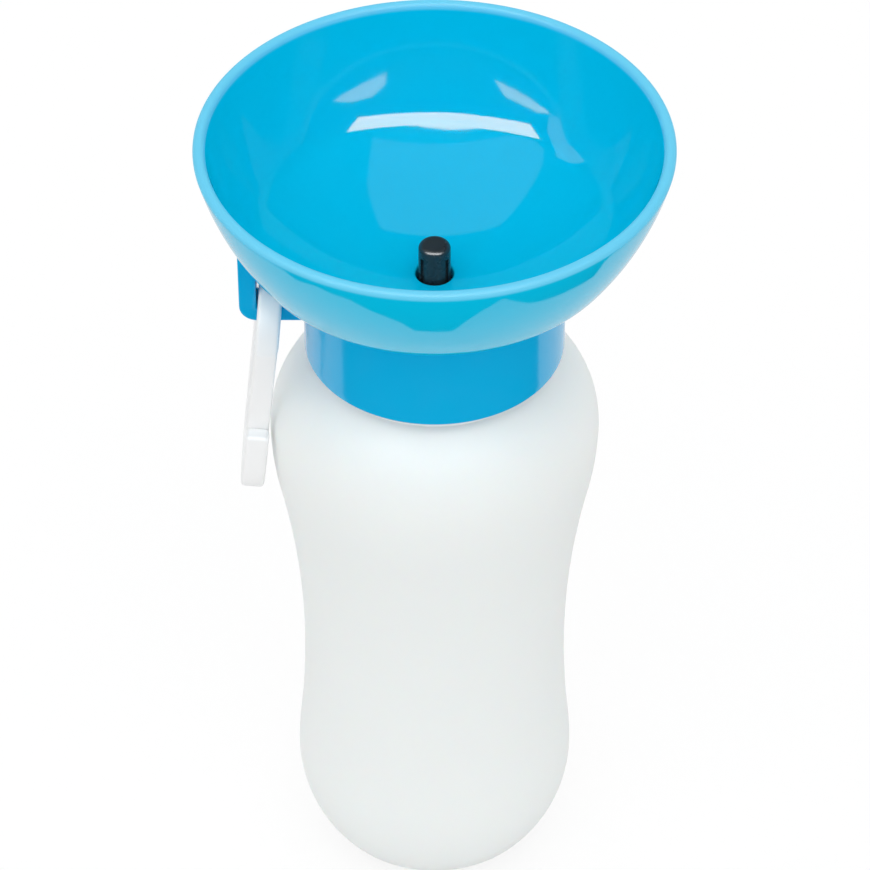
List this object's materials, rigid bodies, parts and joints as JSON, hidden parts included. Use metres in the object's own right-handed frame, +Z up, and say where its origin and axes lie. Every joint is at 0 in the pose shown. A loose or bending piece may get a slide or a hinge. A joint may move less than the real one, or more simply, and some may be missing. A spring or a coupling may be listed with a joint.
{
  "type": "pet travel water bottle",
  "caption": "Squeeze bottle for dogs with a waisted grip, a screw-on drinking bowl with a push-pull valve, and a snap hook on a side loop.",
  "frame": {"origin": "centre of the bottle's standing ring, on the surface it stands on", "axes": "+Z up along the bottle's axis to the bowl; the picture's front is -Y; the hanger bracket and snap hook are on the -X side"},
  "size_m": [0.108, 0.108, 0.2169],
  "materials": {
    "translucent_bottle": "matte translucent milky polyethylene",
    "pale_rubber": "matte silicone",
    "blue_collar": "satin-gloss light blue polypropylene",
    "blue_bowl": "gloss light blue polypropylene",
    "white_plastic": "smooth off-white acetal",
    "dark_rubber": "matte rubber",
    "black_plastic": "satin black plastic",
    "clear_tube": "clear flexible tube"
  },
  "bodies": {
    "bottle": {"squeeze_bottle": "translucent_bottle"},
    "gasket": {"neck_gasket": "pale_rubber"},
    "cap": {"screw_collar": "blue_collar", "hanger_bracket": "blue_collar", "bowl": "blue_bowl", "valve_body": "white_plastic", "valve_washer": "dark_rubber", "rise_tube": "clear_tube"},
    "valve": {"valve_plunger": "black_plastic", "plunger_seal": "dark_rubber"},
    "hook": {"hook_frame": "white_plastic"},
    "gate": {"hook_gate": "white_plastic"}
  },
  "joints": [
    {"name": "cap_rise", "type": "slide", "parent": "bottle", "child": "gasket", "axis": [0, 0, 1], "range_m": [0, 0.0063]},
    {"name": "cap_turn", "type": "hinge", "parent": "gasket", "child": "cap", "pos_m": [0, 0, 0.1724], "axis": [0, 0, 1], "range_deg": [0, 540]},
    {"name": "valve_pull", "type": "slide", "parent": "cap", "child": "valve", "axis": [0, 0, 1], "range_m": [0, 0.004]},
    {"name": "hook_swing", "type": "hinge", "parent": "cap", "child": "hook", "pos_m": [-0.03878, 0, 0.16364], "axis": [0.9946, 0, -0.1034], "range_deg": [-90, 90]},
    {"name": "gate_swing", "type": "hinge", "parent": "hook", "child": "gate", "pos_m": [-0.03878, -0.0105, 0.16364], "axis": [0.9946, 0, -0.1034], "range_deg": [0, 20], "stiffness_Nm_per_rad": 0.05, "springref_deg": -11.46}
  ],
  "couplings": [
    {"joint": "cap_rise", "follows": "cap_turn", "m_per_rad": 0.00066845}
  ]
}
